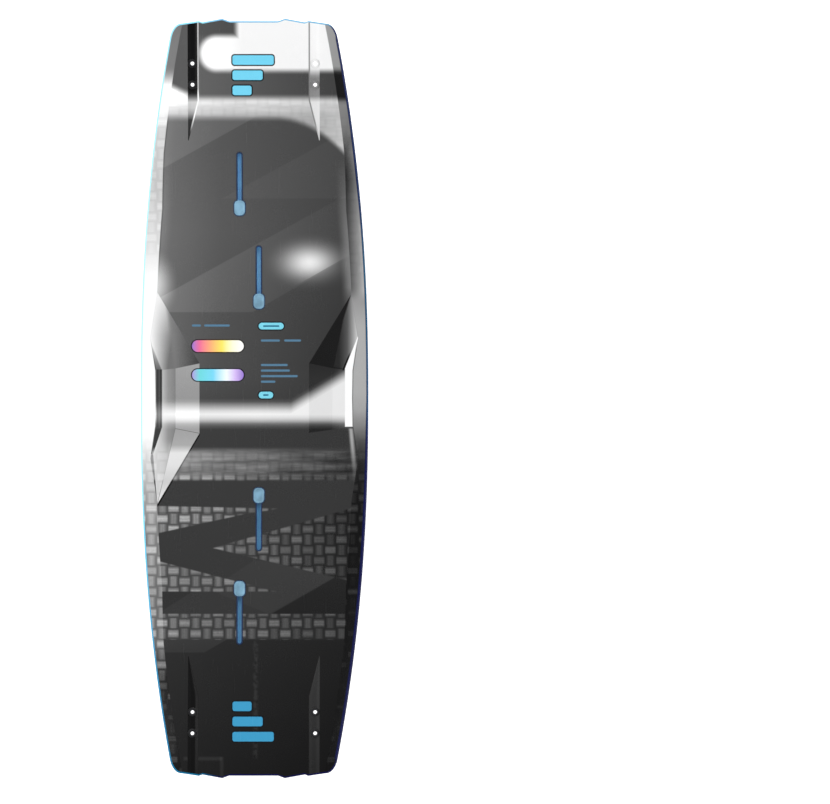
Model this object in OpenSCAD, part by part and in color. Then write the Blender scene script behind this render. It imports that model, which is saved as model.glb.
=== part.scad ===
// Twin-tip kiteboard: a laminated board with four binding tracks and four fin positions.
// X runs across the board, Y along it towards the nose, and Z up through the deck.
// The origin is on the floor under the board's centre. Sizes are in millimetres.

/* [Board] */
// Length from nose to tail
board_length = 1360; // [1350:2:1370]
// Width across the middle
board_width = 410; // [404:1:416]
// Rise of the tips above the flat middle of the base
rocker_height = 42; // [34:1:50]
// Length of the flat middle of the base
rocker_flat = 200; // [160:10:240]
// Deck height above the base datum at the middle
deck_height = 13.5; // [13.2:0.1:14.5]
// How much thinner the board is at the tips
deck_taper = 2.5; // [2:0.1:3]
// Rail height at the middle
rail_height = 7.5; // [7:0.1:8.5]
// Width of the rail strip, seen from above
rail_width = 3; // [2.5:0.5:4]

/* [Layers] */
// Thickness of the top sheet and of the base sheet
sheet_t = 0.6; // [0.5:0.05:0.7]
// Thickness of each fibre laminate
laminate_t = 0.8; // [0.7:0.05:0.9]

/* [Deck relief] */
// Depth of the recess beside each rail at the middle
recess_depth = 2.4; // [1.5:0.1:3]
// Depth of the groove that holds each pair of fin holes
groove_depth = 1.3; // [0.8:0.1:1.5]

/* [Binding tracks] */
// Sideways place of the two inner tracks
inner_track_x = 8.4; // [6:0.2:10]
// Sideways place of the two outer tracks
outer_track_x = -26; // [-30:0.5:-22]
// Distance from the board's centre to the inner ports
inner_port_y = 174.5; // [170:0.5:180]
// Distance from the board's centre to the outer ports
outer_port_y = 342; // [336:0.5:348]
// Length of the track's visible slot, from its port's centre to its end
slot_length = 100; // [80:1:104]
// Width of the open throat, for an M6 screw
throat_w = 6.6; // [6.4:0.1:7]
// How far a nut can be moved along its track
nut_travel = 94; // [70:1:94]

/* [Fin positions] */
// Distance of the fin holes from the centreline
fin_x = 110; // [108:0.5:112]
// Distance from the board's centre to the middle of each pair of holes
fin_y = 581; // [575:1:585]
// Distance between the two holes of a pair
fin_spacing = 38; // [36:0.5:42]
// Diameter of the screw hole
fin_hole_d = 6.5; // [6.2:0.1:7]

/* [Hidden] */
$fn = 72;

half_l = board_length / 2;
half_w = board_width / 2;
skin_t = sheet_t + laminate_t;

// ---- Outline ----
taper_y = 643;          // where the side has come in by side_taper
side_taper = 54;
corner_x = 128;         // centre of each rounded corner
corner_y = half_l - 35;
corner_rise = 26.5;     // from the corner's centre to the tip's edge
corner_power = 2 / 2.4; // 1 would make the corners elliptical
// Rows of the side, up to the corner, and then the corner's angles
side_rows = [0, 56, 108, 157, 190, 235, 282, 325, 387, 449, 500, 548, 614, corner_y];
corner_angles = [30, 60, 90];
side_last = len(side_rows) - 1;
last = side_last + len(corner_angles);

// Half width of the side's long curve, without the corner
function side_x(b) = half_w - side_taper * pow(b / taper_y, 2.27);
// The tip's edge: a notch over the middle, and a step where each outer channel runs out
function tip_y(a) = half_l - lookup(a, [[0, 4.5], [44, 4.5], [56, 0], [92, 8], [98, 4],
                                        [corner_x, 8.5]]);
function angle(j) = corner_angles[j - side_last - 1];
// How far a row has gone from the corner's centre to the tip's edge
function advance(j) = j <= side_last ? 0 : pow(sin(angle(j)), corner_power);
// Half width of a row, moved in from the outline by a distance
function row_w(j, inset = 0) = j <= side_last ? side_x(side_rows[j]) - inset :
  let (y = corner_y + corner_rise * advance(j))
  corner_x + (side_x(y) - corner_x - inset) * pow(max(0, cos(angle(j))), corner_power);
function row_y(j, x, inset = 0) = j <= side_last ? side_rows[j] :
  corner_y + advance(j) * (tip_y(abs(x)) - inset - corner_y);
// The outline's point at the end of a row from -last to last
function edge(j, inset = 0) = let (k = abs(j), w = row_w(k, inset))
  [w, sign(j) * row_y(k, w, inset)];

// ---- Heights above the base datum, from the distances a = |x| and b = |y| ----
function rocker(b) = rocker_height
  * pow(max(0, b - rocker_flat / 2) / (half_l - rocker_flat / 2), 2);
function bevel_x(b) = side_x(b) - lookup(b, [[0, 30], [190, 27], [340, 27], [440, 20], [600, 18]]);
// The deck thins over the last stretch before each tip
tip_thin = 2.5;
tip_thin_start = 620;
function thinning(b) = tip_thin * pow(max(0, b - tip_thin_start) / (half_l - tip_thin_start), 2);
function crown(a, b) = deck_height - deck_taper * pow(b / half_l, 3) - 1.6 * pow(a / 150, 2)
  - thinning(b);
function rail_top(b) = rail_height - 1.5 * pow(b / half_l, 2);
function smooth_deck(a, b) = let (s = bevel_x(b))
  a <= s ? crown(a, b) : lookup(a, [[s, crown(s, b)], [side_x(b), rail_top(b)]]);

// The recess beside the rail: parallel at the middle, closing to a point at recess_end
recess_end = 190;
recess_tip_x = 174;
function recess_inner(b) = lookup(b, [[63, 99], [recess_end, recess_tip_x]]);
function recess_valley(b) = lookup(b, [[56, 142], [recess_end, recess_tip_x]]);
function recess_foot(b) = lookup(b, [[52, 164], [recess_end, recess_tip_x]]);
function recess_rim(b) = lookup(b, [[50, 175], [108, 186.5], [recess_end, recess_tip_x]]);
function recess(a, b) = b >= recess_end ? 0 :
  recess_depth * lookup(b, [[56, 1], [recess_end, 0]])
  * lookup(a, [[recess_inner(b), 0], [recess_valley(b), 0.9], [recess_foot(b), 1],
               [recess_rim(b) + 0.01, 0]]);

// The groove at each tip that holds the fin holes
groove_start = 463;
groove_outer = 118;
function groove_inner(b) = lookup(b, [[groove_start, 117], [534, 99]]);
function groove(a, b) = b <= groove_start ? 0 :
  let (g = groove_inner(b), w = groove_outer - g, d = groove_depth * min(1, w / 18))
  lookup(a, [[g, 0], [g + 0.22 * w, d], [groove_outer - 0.1 * w, d], [groove_outer, 0]]);

// The base: a double concave at the middle, and channels that open towards the tips
function channel_x(b) = lookup(b, [[0, 8], [175, 10], [341, 54], [395, 65], [476, 82],
                                   [564, 94], [680, 98]]);
function panel_x(b) = 139 - 13 * b / half_l;
function centre_h(b) = lookup(b, [[175, 0.6], [341, 1.2], [600, 2.0]]);
function land_h(b) = lookup(b, [[175, 0.6], [341, 0.8], [600, 0.5]]);
function floor_h(b) = lookup(b, [[0, 0.9], [175, 1.2], [341, 1.8], [600, 1.5]]);
function panel_h(b) = lookup(b, [[0, 2.9], [600, 1.9]]);
function base_relief(a, b) = let (c = channel_x(b), s = side_x(b), p = panel_x(b))
  lookup(a, [[0, centre_h(b)],
             [lookup(b, [[300, 1], [470, 47]]), centre_h(b)],
             [lookup(b, [[300, c - 5], [470, 53]]), land_h(b)],
             [c - 4, land_h(b)], [c + 3, floor_h(b)], [p, panel_h(b)],
             [(p + s) / 2, 0.58 * panel_h(b)], [s, 0]]);

function deck_z(x, y) = let (a = abs(x), b = abs(y))
  rocker(b) + smooth_deck(a, b) - recess(a, b) - groove(a, b);
function base_z(x, y) = let (a = abs(x), b = abs(y)) rocker(b) + base_relief(a, b);

// ---- Layers: one shared grid, so that neighbouring layers meet face to face ----
// Columns stand at the sides of the tracks and of the fin blocks, and close up at the tips
column_x = [-172, -142, -123, -97, -56, -37.1, -14.9, -2.7, 19.5, 44, 56, 97, 123, 142, 172];
columns = len(column_x) + 1;
function share(a) = lookup(a, [[0, 0], [37, 0.31], [56, 0.47], [97, 0.8], [123, 0.86],
                               [142, 0.91], [172, 0.965]]);
function column(i, width) = i == 0 ? -width : i == columns ? width :
  let (x = column_x[i - 1]) sign(x) * min(abs(x), share(abs(x)) * width);
function grid_point(j, i) = let (k = abs(j), x = column(i, row_w(k, rail_width)))
  [x, sign(j) * row_y(k, x, rail_width)];

// Height of the surface between layers: level 0 is the deck, and 5 is the base
levels = [0, sheet_t, skin_t, -skin_t, -sheet_t, 0];
function level_z(level, x, y) = level <= 2 ? deck_z(x, y) - levels[level] : base_z(x, y) - levels[level];

function surface_point(level, j, i) = let (p = grid_point(j, i)) [p[0], p[1], level_z(level, p[0], p[1])];
function toward(p, q, distance) = p + (q - p) * distance / norm(q - p);

// A sheet of the grid between two levels, from column i0 to i1 and from row j0 to j1.
// Its two ends are cut back by a gap, except at the tips.
module layer(upper, lower, i0 = 0, i1 = columns, j0 = -last, j1 = last, gap = 0) {
  n = i1 - i0 + 1;
  rows = j1 - j0 + 1;
  function point(level, j, i) = let (p = surface_point(level, j, i))
    gap == 0 || abs(j) == last || (j > j0 && j < j1) ? p
    : toward(p, surface_point(level, j == j0 ? j + 1 : j - 1, i), gap);
  points = [for (level = [upper, lower], j = [j0:j1], i = [i0:i1]) point(level, j, i)];
  under = rows * n;
  function v(r, c) = r * n + c;
  // Every quad is cut along the diagonal that mirrors about the centreline
  function cut(r, c) = 2 * (c + i0) < columns
    ? [[v(r, c), v(r + 1, c), v(r + 1, c + 1)], [v(r, c), v(r + 1, c + 1), v(r, c + 1)]]
    : [[v(r, c), v(r + 1, c), v(r, c + 1)], [v(r + 1, c), v(r + 1, c + 1), v(r, c + 1)]];
  tops = [for (r = [0:rows - 2], c = [0:n - 2]) each cut(r, c)];
  bottoms = [for (t = tops) [t[2] + under, t[1] + under, t[0] + under]];
  rim = concat([for (c = [0:n - 1]) v(0, c)], [for (r = [1:rows - 1]) v(r, n - 1)],
               [for (c = [n - 2:-1:0]) v(rows - 1, c)], [for (r = [rows - 2:-1:1]) v(r, 0)]);
  walls = [for (k = [0:len(rim) - 1]) let (p = rim[k], q = rim[(k + 1) % len(rim)])
    each [[p, q, q + under], [p, q + under, p + under]]];
  polyhedron(points, concat(tops, bottoms, walls));
}

// A rail strip through a list of stations, each [inner point, outer point]
rail_round = 0.3;       // share of the rail's height that each rounded edge takes
module rail(stations) {
  profile = 6;
  function ring(s) = let (i = s[0], o = s[1], m = (i + o) / 2, zo = deck_z(o[0], o[1]), bo = base_z(o[0], o[1]),
    h = zo - bo) [
      [i[0], i[1], deck_z(i[0], i[1])], [m[0], m[1], zo - 0.04 * h], [o[0], o[1], zo - rail_round * h],
      [o[0], o[1], bo + rail_round * h], [m[0], m[1], bo], [i[0], i[1], base_z(i[0], i[1])]];
  n = len(stations);
  points = [for (s = stations) each ring(s)];
  sides = [for (k = [0:n - 2], p = [0:profile - 1]) let (q = (p + 1) % profile, a = k * profile, b = a + profile)
    each [[a + p, b + p, b + q], [a + p, b + q, a + q]]];
  first_cap = [[0, 1, 2], [0, 2, 3], [0, 3, 4], [0, 4, 5]];
  last_ring = (n - 1) * profile;
  last_cap = [for (f = first_cap) [last_ring + f[2], last_ring + f[1], last_ring + f[0]]];
  polyhedron(points, concat(sides, first_cap, last_cap));
}

function mirrored_x(stations) = [for (k = [len(stations) - 1:-1:0])
  [for (p = stations[k]) [-p[0], p[1]]]];
function mirrored_y(stations) = [for (k = [len(stations) - 1:-1:0])
  [for (p = stations[k]) [p[0], -p[1]]]];
side_stations = [for (j = [-last:last]) [edge(j, rail_width), edge(j)]];
tip_stations = [for (i = [columns:-1:0]) let (p = grid_point(last, i)) [p, [p[0], tip_y(abs(p[0]))]]];

// ---- Plan shapes ----
module pill(w, y0, y1) {
  translate([-w / 2, y0]) square([w, y1 - y0]);
  translate([0, y0]) circle(d = w);
  translate([0, y1]) circle(d = w);
}

module rounded(w, l, r) {
  square([w - 2 * r, l], center = true);
  square([w, l - 2 * r], center = true);
  for (x = [-1, 1], y = [-1, 1]) translate([x * (w / 2 - r), y * (l / 2 - r)]) circle(r = r);
}

module block(w, l, r, z0, z1) {
  translate([0, 0, z0]) linear_extrude(z1 - z0) rounded(w, l, r);
}

// ---- Binding tracks: local Y runs outward from the port's centre, and Z out of the deck ----
port_w = 22;            // outside of the port's collar
port_l = 30;
port_r = 9;
neck_w = 10.8;          // outside of the slot's collar
track_w = 22;           // box under the skins
track_depth = 8.5;
track_y0 = -17;         // ends of the box
track_y1 = 106;
box_top = -2;
lip_z = -2.8;           // underside of the lips
cavity_z = -7.3;        // floor of the nut's channel
cavity_w = 13;
cavity_y0 = -10.5;
cavity_y1 = 104;
ledge_z = -1.2;         // seat of the plug's cap
ledge_w = 19.6;
ledge_l = 27.6;
hatch_w = 14.6;         // the nut goes in here
hatch_l = 19;
clear = 0.1;            // gap round a piece set in the board
flush = -0.15;          // the straight track's mean height against the curved deck

// Places children on a track: end is 1 for the nose and -1 for the tail
module at_track(x, port_y, end) {
  z0 = deck_z(x, port_y - port_l / 2);
  z1 = deck_z(x, port_y + slot_length);
  tilt = atan2(z1 - z0, slot_length + port_l / 2);
  z = z0 + (port_l / 2) * tan(tilt) + flush;
  if (end > 0)
    translate([x, port_y, z]) rotate([tilt, 0, 0]) children();
  else
    mirror([0, 1, 0]) translate([x, port_y, z]) rotate([tilt, 0, 0]) children();
}

module neck_plan(grow = 0) {
  rounded(port_w + 2 * grow, port_l + 2 * grow, port_r);
  pill(neck_w + 2 * grow, 0, slot_length - neck_w / 2);
}

module track_box(grow, z0, z1) {
  y_mid = (track_y0 + track_y1) / 2;
  translate([0, y_mid, 0])
    block(track_w + 2 * grow, track_y1 - track_y0 + 2 * grow, 6, z0, z1);
}

module track(x, port_y, end) {
  color("#3a76b0") at_track(x, port_y, end) difference() {
    union() {
      translate([0, 0, box_top - 0.01]) linear_extrude(-box_top + 0.01) neck_plan();
      track_box(0, -track_depth, box_top);
    }
    translate([0, 0, lip_z]) linear_extrude(5) pill(throat_w, 0, slot_length - 2 - throat_w / 2);
    translate([-cavity_w / 2, cavity_y0, cavity_z]) cube([cavity_w, cavity_y1 - cavity_y0, lip_z - cavity_z]);
    block(hatch_w, hatch_l, 3, lip_z - 1, 5);
    block(ledge_w, ledge_l, 7.8, ledge_z, 5);
  }
}

// Rectangular T-nut, at rest under its port's plug
nut_w = 12.4;
nut_l = 16;
nut_bottom = -7.15;
nut_top = -3.05;
nut_bore_r = 2.5;       // minor radius of the M6 thread
module nut(x, port_y, end) {
  color("#b9bcbf") at_track(x, port_y, end) difference() {
    block(nut_w, nut_l, 2, nut_bottom, nut_top);
    translate([0, 0, nut_bottom - 1]) cylinder(r = nut_bore_r, h = nut_top - nut_bottom + 2);
  }
}

module plug(x, port_y, end) {
  color("#9fb9cf") at_track(x, port_y, end) {
    block(ledge_w - 0.4, ledge_l - 0.4, 7.6, ledge_z + 0.05, 0.05);
    block(hatch_w - 0.5, hatch_l - 0.5, 2.8, lip_z, ledge_z + 0.05);
  }
}

// Every track's place, as [x, port_y, end]
module each_track() {
  for (end = [-1, 1]) {
    at_track(inner_track_x, inner_port_y, end) children();
    at_track(outer_track_x, outer_port_y, end) children();
  }
}

// ---- Fin positions: local Y runs outward along the groove, and Z out of the deck ----
flange_d = 16;
flange_t = 1.5;
barrel_d = 10;
barrel_end = -6.8;      // inner end of the bushing, above the base sheet
fin_block_w = 26;
fin_block_l = 64;
fin_block_end = -5.6;

module at_fins(side, end) {
  y0 = fin_y - fin_spacing / 2;
  y1 = fin_y + fin_spacing / 2;
  tilt = atan2(deck_z(fin_x, y1) - deck_z(fin_x, y0), fin_spacing);
  z = (deck_z(fin_x, y0) + deck_z(fin_x, y1)) / 2;
  if (end > 0)
    translate([side * fin_x, fin_y, z]) rotate([tilt, 0, 0]) children();
  else
    mirror([0, 1, 0]) translate([side * fin_x, fin_y, z]) rotate([tilt, 0, 0]) children();
}

module each_fin_hole(d, z0, z1) {
  for (side = [-1, 1], end = [-1, 1], k = [-1, 1])
    at_fins(side, end) translate([0, k * fin_spacing / 2, z0]) cylinder(d = d, h = z1 - z0);
}

module fin_block(side, end) {
  color("#e8e4da") at_fins(side, end) difference() {
    block(fin_block_w, fin_block_l, 8, fin_block_end, -flange_t - 0.2);
    for (k = [-1, 1]) translate([0, k * fin_spacing / 2, -8]) cylinder(d = barrel_d + 0.1, h = 10);
  }
}

module fin_bush(side, end, k) {
  color("#1c1e21") at_fins(side, end) translate([0, k * fin_spacing / 2, 0]) difference() {
    union() {
      translate([0, 0, -flange_t]) cylinder(d = flange_d, h = flange_t);
      translate([0, 0, barrel_end]) cylinder(d = barrel_d, h = -barrel_end - 0.5);
    }
    translate([0, 0, barrel_end - 1]) cylinder(d = fin_hole_d, h = 10);
  }
}

// ---- Sub-parts ----
deck_cut = 5;           // how far the deck's openings are cut, up and down from its surface
base_cut = -12;         // how deep the base's openings start, which is below the base itself
module deck_cuts() {
  each_track() translate([0, 0, -deck_cut]) linear_extrude(2 * deck_cut) neck_plan(clear);
  each_fin_hole(flange_d + 2 * clear, -deck_cut, deck_cut);
}

module top_sheet() {
  color("#6b6b6c") difference() {
    layer(0, 1);
    deck_cuts();
  }
}

module deck_laminate() {
  color("#33363a") difference() {
    layer(1, 2);
    deck_cuts();
  }
}

// One length of core wood between two columns, and between two rows of the nose or tail half
glue_gap = 0.1;         // half of the glue line between two lengths
module wood(i0, i1, j0, j1) {
  layer(2, 3, i0, i1, j0, j1, glue_gap);
}
module wood_pair(i0, i1, j0, j1) {
  wood(i0, i1, j0, j1);
  wood(i0, i1, -j1, -j0);
}

// Rows of side_rows at which the lengths of wood meet
middle_row = 3;
inner_track_row = 6;
outer_track_row = 7;
track_end_row = 9;
plain_row = 10;
fin_row = 11;
fin_end_row = 12;

// A plain strip, made of seven lengths
module strip(i0, i1) {
  wood(i0, i1, -middle_row, middle_row);
  wood_pair(i0, i1, middle_row, outer_track_row);
  wood_pair(i0, i1, outer_track_row, plain_row);
  wood_pair(i0, i1, plain_row, last);
}

module core_left_edge() {
  color("#bf9a6a") strip(0, 3);
}

module core_right_edge() {
  color("#bf9a6a") strip(13, columns);
}

module core_left_inner() {
  color("#c4a172") strip(4, 6);
}

module core_right_inner() {
  color("#c4a172") strip(9, 12);
}

module core_middle() {
  color("#c4a172") strip(7, 8);
}

// A strip that leaves room for the fin blocks
module core_fin(i0, i1) {
  color("#c9a878") {
    wood(i0, i1, -middle_row, middle_row);
    wood_pair(i0, i1, middle_row, outer_track_row);
    wood_pair(i0, i1, outer_track_row, fin_row);
    wood_pair(i0, i1, fin_end_row, last);
  }
}

// The thin floor of wood that is left under a track
track_room = [80, 220, 40]; // larger than a track, with room past its ends
module track_floor(i0, i1, x, port_y, j0, j1) {
  for (s = [-1, 1]) difference() {
    wood(i0, i1, min(s * j0, s * j1), max(s * j0, s * j1));
    at_track(x, port_y, s) translate([-track_room[0] / 2, -60, -track_depth - clear]) cube(track_room);
  }
}

module core_inner_track() {
  color("#c9a878") {
    wood(8, 9, -middle_row, middle_row);
    track_floor(8, 9, inner_track_x, inner_port_y, middle_row, inner_track_row);
    wood_pair(8, 9, inner_track_row, track_end_row);
    wood_pair(8, 9, track_end_row, last);
  }
}

module core_outer_track() {
  color("#c9a878") {
    wood(6, 7, -middle_row, middle_row);
    wood_pair(6, 7, middle_row, outer_track_row);
    track_floor(6, 7, outer_track_x, outer_port_y, outer_track_row, track_end_row);
    wood_pair(6, 7, track_end_row, last);
  }
}

module base_laminate() {
  color("#3a3d41") difference() {
    layer(3, 4);
    each_fin_hole(barrel_d + 2 * clear, base_cut, 0);
  }
}

module base_sheet() {
  color("#e6e7e8") difference() {
    layer(4, 5);
    each_fin_hole(fin_hole_d + 0.5, base_cut, 0);
  }
}

module side_rail(side) {
  color("#2a7fa5") rail(side > 0 ? side_stations : mirrored_x(side_stations));
}

module tip_rail(end) {
  color("#2a7fa5") rail(end > 0 ? tip_stations : mirrored_y(tip_stations));
}

top_sheet();
deck_laminate();
core_left_edge();
core_fin(3, 4);  // core_left_fin
core_left_inner();
core_outer_track();
core_middle();
core_inner_track();
core_right_inner();
core_fin(12, 13);  // core_right_fin
core_right_edge();
base_laminate();
base_sheet();
side_rail(-1);  // left_rail
side_rail(1);  // right_rail
tip_rail(1);  // nose_rail
tip_rail(-1);  // tail_rail
track(inner_track_x, inner_port_y, 1);  // track_nose_inner
track(outer_track_x, outer_port_y, 1);  // track_nose_outer
track(inner_track_x, inner_port_y, -1);  // track_tail_inner
track(outer_track_x, outer_port_y, -1);  // track_tail_outer
nut(inner_track_x, inner_port_y, 1);  // nut_nose_inner
nut(outer_track_x, outer_port_y, 1);  // nut_nose_outer
nut(inner_track_x, inner_port_y, -1);  // nut_tail_inner
nut(outer_track_x, outer_port_y, -1);  // nut_tail_outer
plug(inner_track_x, inner_port_y, 1);  // plug_nose_inner
plug(outer_track_x, outer_port_y, 1);  // plug_nose_outer
plug(inner_track_x, inner_port_y, -1);  // plug_tail_inner
plug(outer_track_x, outer_port_y, -1);  // plug_tail_outer
fin_block(-1, 1);  // fin_block_nose_left
fin_block(1, 1);  // fin_block_nose_right
fin_block(-1, -1);  // fin_block_tail_left
fin_block(1, -1);  // fin_block_tail_right
fin_bush(-1, 1, -1);  // fin_bush_nose_left_a
fin_bush(-1, 1, 1);  // fin_bush_nose_left_b
fin_bush(1, 1, -1);  // fin_bush_nose_right_a
fin_bush(1, 1, 1);  // fin_bush_nose_right_b
fin_bush(-1, -1, -1);  // fin_bush_tail_left_a
fin_bush(-1, -1, 1);  // fin_bush_tail_left_b
fin_bush(1, -1, -1);  // fin_bush_tail_right_a
fin_bush(1, -1, 1);  // fin_bush_tail_right_b
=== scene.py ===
"""Looks of the twin-tip kiteboard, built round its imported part.

The board lies deck up with its nose to +Y. Plan lines, heights and prints are written in millimetres, with the
same rules as the part's own design, and meshes are made from them in metres.
"""

import math

import bmesh
import bpy
import numpy as np
from mathutils import Matrix, Vector


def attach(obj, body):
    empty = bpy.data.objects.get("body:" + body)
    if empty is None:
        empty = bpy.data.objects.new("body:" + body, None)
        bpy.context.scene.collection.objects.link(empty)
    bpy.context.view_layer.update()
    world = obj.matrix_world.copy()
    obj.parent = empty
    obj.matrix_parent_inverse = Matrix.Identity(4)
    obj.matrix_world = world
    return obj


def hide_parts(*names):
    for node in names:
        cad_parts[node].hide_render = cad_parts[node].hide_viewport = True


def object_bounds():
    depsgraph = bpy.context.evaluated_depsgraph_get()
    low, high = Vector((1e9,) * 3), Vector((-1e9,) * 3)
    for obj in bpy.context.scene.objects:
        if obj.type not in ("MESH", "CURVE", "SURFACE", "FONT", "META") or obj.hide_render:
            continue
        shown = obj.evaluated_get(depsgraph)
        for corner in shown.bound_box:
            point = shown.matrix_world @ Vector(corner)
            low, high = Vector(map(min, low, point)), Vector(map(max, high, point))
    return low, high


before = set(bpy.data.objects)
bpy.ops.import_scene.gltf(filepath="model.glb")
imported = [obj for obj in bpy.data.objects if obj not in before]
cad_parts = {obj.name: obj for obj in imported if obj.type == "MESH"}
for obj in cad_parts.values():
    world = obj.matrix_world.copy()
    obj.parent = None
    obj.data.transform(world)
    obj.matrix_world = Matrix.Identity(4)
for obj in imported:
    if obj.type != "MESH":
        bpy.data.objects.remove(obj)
CAD_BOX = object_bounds()
MM = 0.001

# ---- Outline, in millimetres from the board's centre: a = |x| and b = |y| ----
HALF_W = (CAD_BOX[1].x - CAD_BOX[0].x) / 2 / MM
HALF_L = (CAD_BOX[1].y - CAD_BOX[0].y) / 2 / MM
SIDE_TAPER = 54
TAPER_Y = 643
TAPER_POWER = 2.27
CORNER_X = 128
CORNER_Y = HALF_L - 35
CORNER_RISE = 26.5
CORNER_POWER = 2 / 2.4
RAIL_WIDTH = 3
TIP_EDGE = [(0, 4.5), (44, 4.5), (56, 0), (92, 6.4), (98, 4), (CORNER_X, 8.5)]  # how far it is set back at each a
BEVEL_WIDTH = [(0, 30), (190, 27), (340, 27), (440, 20), (600, 18)]  # at each b


def lookup(at, pairs):
    """Straight lines through (place, height) pairs. Places and heights may be arrays."""
    result = np.zeros_like(at) + pairs[0][1]
    for (x0, h0), (x1, h1) in zip(pairs, pairs[1:]):
        result = result + np.clip((at - x0) / np.maximum(x1 - x0, 1e-9), 0, 1) * (h1 - h0)
    return result


def side_x(b):
    """Half width of the side's long curve."""
    return HALF_W - SIDE_TAPER * (b / TAPER_Y) ** TAPER_POWER


def tip_y(a):
    """The tip's edge: a notch over the middle, and a step beside each outer channel."""
    return HALF_L - lookup(a, TIP_EDGE)


# ---- Heights ----
ROCKER_HEIGHT = 42
ROCKER_START = 100
DECK_HEIGHT = 13.5
DECK_TAPER = 2.5
CROWN = 1.6
CROWN_X = 150
TIP_THIN = 2.5
TIP_THIN_START = 620
RAIL_HEIGHT = 7.5
RAIL_TAPER = 1.5
RECESS_DEPTH = 2.4
RECESS_START = 56
RECESS_END = 190
RECESS_TIP = 174
GROOVE_DEPTH = 1.3
GROOVE_START = 463
GROOVE_OUTER = 118
GROOVE_INNER = 99
GROOVE_WALL = 0.32  # each wall's share of the groove's width
PANEL_X = 139
PANEL_TAPER = 13
PANEL_BEND = 0.58  # share of the panel's depth left halfway to the rail
SHEET_T = 0.6
LAMINATE_T = 0.8


def rocker(b):
    return ROCKER_HEIGHT * (np.maximum(0, b - ROCKER_START) / (HALF_L - ROCKER_START)) ** 2


def bevel_x(b):
    return side_x(b) - lookup(b, BEVEL_WIDTH)


def deck_lines(b):
    """Places of the deck's creases from the centreline outward, in order even where they meet the bevel."""
    start = lookup(b, [(150, 80), (GROOVE_START, GROOVE_OUTER - 1), (534, GROOVE_INNER)])
    end = lookup(b, [(150, 83), (GROOVE_START, GROOVE_OUTER)])
    bevel = bevel_x(b)
    inner = np.minimum(lookup(b, [(63, 99), (RECESS_END, RECESS_TIP)]), bevel - 1.2)
    valley = np.minimum(lookup(b, [(56, 142), (RECESS_END, RECESS_TIP)]), bevel - 0.8)
    foot = np.minimum(lookup(b, [(52, 164), (RECESS_END, RECESS_TIP)]), bevel - 0.4)
    rim = lookup(b, [(50, 175), (108, 186.5), (RECESS_END, RECESS_TIP)])
    rim = np.maximum(rim, bevel + 0.4)
    wall = GROOVE_WALL * (end - start)
    return [start, start + wall, end - wall, end, inner, valley, foot, bevel, rim]


def deck_z(a, b):
    """Height of the deck's surface."""
    bevel, side = bevel_x(b), side_x(b)
    thinning = TIP_THIN * (np.maximum(0, b - TIP_THIN_START) / (HALF_L - TIP_THIN_START)) ** 2

    def crown(x):
        return DECK_HEIGHT - DECK_TAPER * (b / HALF_L) ** 3 - CROWN * (x / CROWN_X) ** 2 - thinning

    rail_top = RAIL_HEIGHT - RAIL_TAPER * (b / HALF_L) ** 2
    smooth = np.where(a <= bevel, crown(np.minimum(a, bevel)), lookup(a, [(bevel, crown(bevel)), (side, rail_top)]))
    start, step_in, step_out, end, inner, valley, foot, _, rim = deck_lines(b)
    width = np.where(b > GROOVE_START, end - start, 0)
    depth = GROOVE_DEPTH * np.minimum(1, width / (GROOVE_OUTER - GROOVE_INNER - 1))
    groove = lookup(a, [(start, 0), (step_in, depth), (step_out, depth), (end, 0)])
    reach = lookup(b, [(RECESS_START, RECESS_DEPTH), (RECESS_END, 0)])
    recess = lookup(a, [(inner, 0), (valley, 0.9 * reach), (foot, reach), (rim, 0)])
    return rocker(b) + smooth - groove - recess


def channel_x(b):
    return lookup(b, [(0, 8), (175, 10), (341, 54), (395, 65), (476, 82), (564, 94), (680, 98)])


def base_lines(b):
    """Places of the base's creases from the centreline outward."""
    channel = channel_x(b)
    panel = PANEL_X - PANEL_TAPER * b / HALF_L
    step_in = lookup(b, [(300, 1), (470, 47)])
    step_out = lookup(b, [(300, channel - 5), (470, 53)])
    return [step_in, step_out, channel - 4, channel + 3, panel, (panel + side_x(b)) / 2]


def base_z(a, b):
    """Height of the base's surface: a double concave, and channels that open towards the tips."""
    centre = lookup(b, [(175, 0.6), (341, 1.2), (600, 2.0)])
    land = lookup(b, [(175, 0.6), (341, 0.8), (600, 0.5)])
    floor = lookup(b, [(0, 0.9), (175, 1.2), (341, 1.8), (600, 1.5)])
    panel = lookup(b, [(0, 2.9), (600, 1.9)])
    places = base_lines(b)
    heights = [centre, land, land, floor, panel, PANEL_BEND * panel]
    return rocker(b) + lookup(a, [(0, centre), *zip(places, heights), (side_x(b), 0)])


# ---- Rows of the sheets, from the board's middle to the tip's edge ----
ROW_STEP = 5.4
ROW_KINKS = [50, 52, 56, 63, 108, 190, 463, 534, 600, 620]
KINK_GAP = 1.5  # even rows keep this far from a kink
CORNER_ANGLES = [3, 7, 12, 18, 24, 30, 36, 42, 48, 54, 60, 66, 72, 78, 84, 90]


def row_list():
    """Rows as (distance from the middle, angle round the corner)."""
    even = np.linspace(0, CORNER_Y, round(CORNER_Y / ROW_STEP) + 1)
    kept = [b for b in even if min(abs(b - k) for k in ROW_KINKS) > KINK_GAP]
    side = sorted([*kept, *ROW_KINKS])
    return np.array([(b, 0) for b in side] + [(CORNER_Y, t) for t in CORNER_ANGLES], float)


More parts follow.
